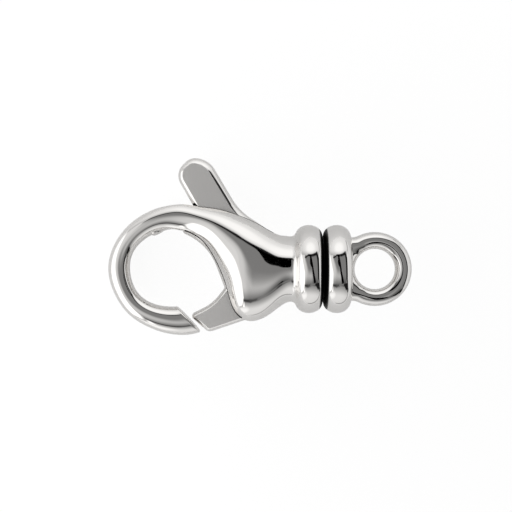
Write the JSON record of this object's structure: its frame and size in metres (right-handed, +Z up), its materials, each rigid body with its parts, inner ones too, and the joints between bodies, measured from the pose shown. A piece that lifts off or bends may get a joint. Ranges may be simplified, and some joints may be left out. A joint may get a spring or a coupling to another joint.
{
  "type": "swivel clasp",
  "caption": "Cast metal hook clasp with a sprung trigger gate and an eye that swivels on the neck, for joining a chain or strap to a ring.",
  "frame": {"origin": "on the surface that the clasp lies on, under the middle of its bounding box", "axes": "+X from the hook's closed end to the eye, +Y to the thumb tab's side, +Z up from the surface; the clasp lies on its first collar and the fullest place of its shell, so its own plane is tipped by 8.9 degrees about Y, and the tab's weight turns it by 6.5 degrees about the swivel's axis"},
  "size_m": [0.0225, 0.0132, 0.0069],
  "materials": {
    "cast_body": "mirror polished white metal",
    "trigger_plate": "polished flat faces with rounded edges",
    "pin": "drawn wire",
    "cast_eye": "mirror polished white metal"
  },
  "bodies": {
    "hook": {"hook_body": "cast_body", "pivot_pin": "pin"},
    "trigger": {"trigger": "trigger_plate"},
    "eye": {"swivel_eye": "cast_eye"}
  },
  "joints": [
    {"name": "trigger_hinge", "type": "hinge", "parent": "hook", "child": "trigger", "pos_m": [0.00003, -0.00028, 0.00255], "axis": [0.1545, -0.1132, -0.9815], "range_deg": [0, 40], "stiffness_Nm_per_rad": 0.01, "springref_deg": -14.32},
    {"name": "swivel_spin", "type": "hinge", "parent": "hook", "child": "eye", "pos_m": [0.00359, -0.0017, 0.00327], "axis": [0.9878, 0, 0.1555], "continuous": true}
  ]
}
